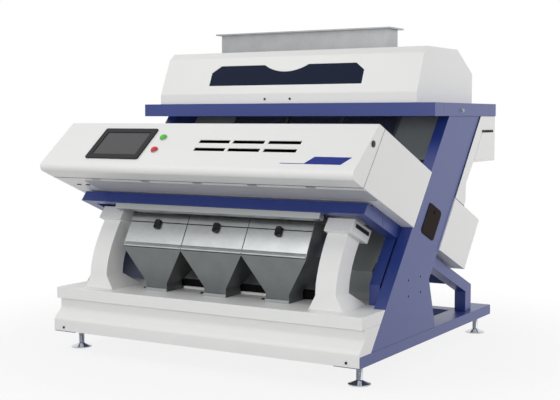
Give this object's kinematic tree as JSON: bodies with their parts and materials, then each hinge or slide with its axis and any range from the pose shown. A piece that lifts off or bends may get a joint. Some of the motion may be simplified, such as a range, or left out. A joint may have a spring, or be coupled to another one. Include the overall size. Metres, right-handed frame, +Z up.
{
  "type": "optical colour sorter",
  "caption": "Free-standing optical colour sorter: leaning legs carry a feed hood, vibrating feeders, chutes, camera boxes and collecting hoppers with sample doors.",
  "frame": {"origin": "middle of the bounding box, on the floor under the foot pads", "axes": "+X to the right as the operator faces the screen, +Y to the rear, +Z up"},
  "size_m": [1.618, 1.5685, 1.517],
  "materials": {
    "blue_paint": "satin powder coat",
    "white_paint": "satin powder coat",
    "stainless": "brushed",
    "galvanised": "dull sheet",
    "dark_panel": "fine texture",
    "black_plastic": "moulded",
    "tinted_window": "tinted acrylic",
    "clear_glass": "clear",
    "screen": "dark display",
    "start_green": "moulded",
    "stop_red": "moulded",
    "plated": "plated",
    "board": "circuit board",
    "lamp": "diffuser",
    "drive_iron": "painted casting"
  },
  "bodies": {
    "root": {"base_rails": "blue_paint", "base_cross_rails": "blue_paint", "foot_nuts": "plated", "leg_left": "blue_paint", "leg_right": "blue_paint", "access_covers": "dark_panel", "braces": "blue_paint", "rear_cross_tube": "blue_paint", "top_beams_cross": "blue_paint", "top_beams_side": "blue_paint", "hood": "white_paint", "hood_window": "tinted_window", "inlet_duct": "galvanised", "feed_bin": "stainless", "feeder_deck": "blue_paint", "feeder_drives": "drive_iron", "chutes": "stainless", "chute_bars": "galvanised", "control_box": "white_paint", "hinge_pins": "stainless", "control_boards": "board", "tray_frame": "blue_paint", "lamp_bar": "galvanised", "columns": "white_paint", "column_heads": "white_paint", "deck": "white_paint", "base_cover": "white_paint", "hoppers": "stainless", "reject_trough": "stainless", "ejector_bar": "galvanised", "air_tank": "galvanised", "cameras": "black_plastic", "viewing_glass": "clear_glass", "lamps": "lamp", "wiper_rails": "stainless", "rear_box": "white_paint", "rear_housing": "white_paint"},
    "foot_front_left": {"foot_front_left": "plated"},
    "foot_front_right": {"foot_front_right": "plated"},
    "foot_rear_left": {"foot_rear_left": "plated"},
    "foot_rear_right": {"foot_rear_right": "plated"},
    "door": {"front_door": "white_paint", "screen_bezel": "black_plastic", "screen_panel": "screen", "button_collars": "plated"},
    "start_button": {"start_button": "start_green"},
    "stop_button": {"stop_button": "stop_red"},
    "door_lock": {"door_lock": "black_plastic"},
    "wiper_front": {"wiper_front": "black_plastic"},
    "wiper_rear": {"wiper_rear": "black_plastic"},
    "rear_door": {"rear_door": "white_paint"},
    "feeder_1": {"feeder_tray_1": "stainless"},
    "sample_1": {"sample_door_1": "stainless"},
    "latch_1": {"latch_1": "black_plastic"},
    "feeder_2": {"feeder_tray_2": "stainless"},
    "sample_2": {"sample_door_2": "stainless"},
    "latch_2": {"latch_2": "black_plastic"},
    "feeder_3": {"feeder_tray_3": "stainless"},
    "sample_3": {"sample_door_3": "stainless"},
    "latch_3": {"latch_3": "black_plastic"}
  },
  "joints": [
    {"name": "foot_front_left_turn", "type": "hinge", "parent": "root", "child": "foot_front_left", "pos_m": [-0.74, -0.58962, 0], "axis": [0, 0, 1], "continuous": true},
    {"name": "foot_front_right_turn", "type": "hinge", "parent": "root", "child": "foot_front_right", "pos_m": [0.74, -0.58962, 0], "axis": [0, 0, 1], "continuous": true},
    {"name": "foot_rear_left_turn", "type": "hinge", "parent": "root", "child": "foot_rear_left", "pos_m": [-0.74, 0.71038, 0], "axis": [0, 0, 1], "continuous": true},
    {"name": "foot_rear_right_turn", "type": "hinge", "parent": "root", "child": "foot_rear_right", "pos_m": [0.74, 0.71038, 0], "axis": [0, 0, 1], "continuous": true},
    {"name": "feeder_1_shake", "type": "slide", "parent": "root", "child": "feeder_1", "axis": [0, 1, 0], "range_m": [-0.0015, 0.0015], "stiffness_N_per_m": 30000},
    {"name": "feeder_2_shake", "type": "slide", "parent": "root", "child": "feeder_2", "axis": [0, 1, 0], "range_m": [-0.0015, 0.0015], "stiffness_N_per_m": 30000},
    {"name": "feeder_3_shake", "type": "slide", "parent": "root", "child": "feeder_3", "axis": [0, 1, 0], "range_m": [-0.0015, 0.0015], "stiffness_N_per_m": 30000},
    {"name": "door_open", "type": "hinge", "parent": "root", "child": "door", "pos_m": [0, -0.49836, 1.04977], "axis": [-1, 0, 0], "range_deg": [0, 75]},
    {"name": "start_press", "type": "slide", "parent": "door", "child": "start_button", "axis": [0, 0.6211, -0.7837], "range_m": [0, 0.004], "stiffness_N_per_m": 600},
    {"name": "stop_press", "type": "slide", "parent": "door", "child": "stop_button", "axis": [0, 0.6211, -0.7837], "range_m": [0, 0.004], "stiffness_N_per_m": 600},
    {"name": "lock_turn", "type": "hinge", "parent": "door", "child": "door_lock", "pos_m": [0.806, -0.61124, 0.98405], "axis": [1, 0, 0], "range_deg": [0, 90]},
    {"name": "sample_1_open", "type": "hinge", "parent": "root", "child": "sample_1", "pos_m": [-0.323, -0.57924, 0.50359], "axis": [1, 0, 0], "range_deg": [0, 70]},
    {"name": "latch_1_flip", "type": "hinge", "parent": "sample_1", "child": "latch_1", "pos_m": [-0.323, -0.54577, 0.58934], "axis": [1, 0, 0], "range_deg": [0, 80]},
    {"name": "sample_2_open", "type": "hinge", "parent": "root", "child": "sample_2", "pos_m": [0, -0.57924, 0.50359], "axis": [1, 0, 0], "range_deg": [0, 70]},
    {"name": "latch_2_flip", "type": "hinge", "parent": "sample_2", "child": "latch_2", "pos_m": [0, -0.54577, 0.58934], "axis": [1, 0, 0], "range_deg": [0, 80]},
    {"name": "sample_3_open", "type": "hinge", "parent": "root", "child": "sample_3", "pos_m": [0.323, -0.57924, 0.50359], "axis": [1, 0, 0], "range_deg": [0, 70]},
    {"name": "latch_3_flip", "type": "hinge", "parent": "sample_3", "child": "latch_3", "pos_m": [0.323, -0.54577, 0.58934], "axis": [1, 0, 0], "range_deg": [0, 80]},
    {"name": "wiper_front_slide", "type": "slide", "parent": "root", "child": "wiper_front", "axis": [1, 0, 0], "range_m": [0, 0.979]},
    {"name": "wiper_rear_slide", "type": "slide", "parent": "root", "child": "wiper_rear", "axis": [1, 0, 0], "range_m": [0, 0.979]},
    {"name": "rear_door_open", "type": "hinge", "parent": "root", "child": "rear_door", "pos_m": [0, 0.5429, 0.60969], "axis": [1, 0, 0], "range_deg": [0, 75]}
  ],
  "couplings": [
    {"joint": "wiper_rear_slide", "follows": "wiper_front_slide", "ratio": 1}
  ]
}
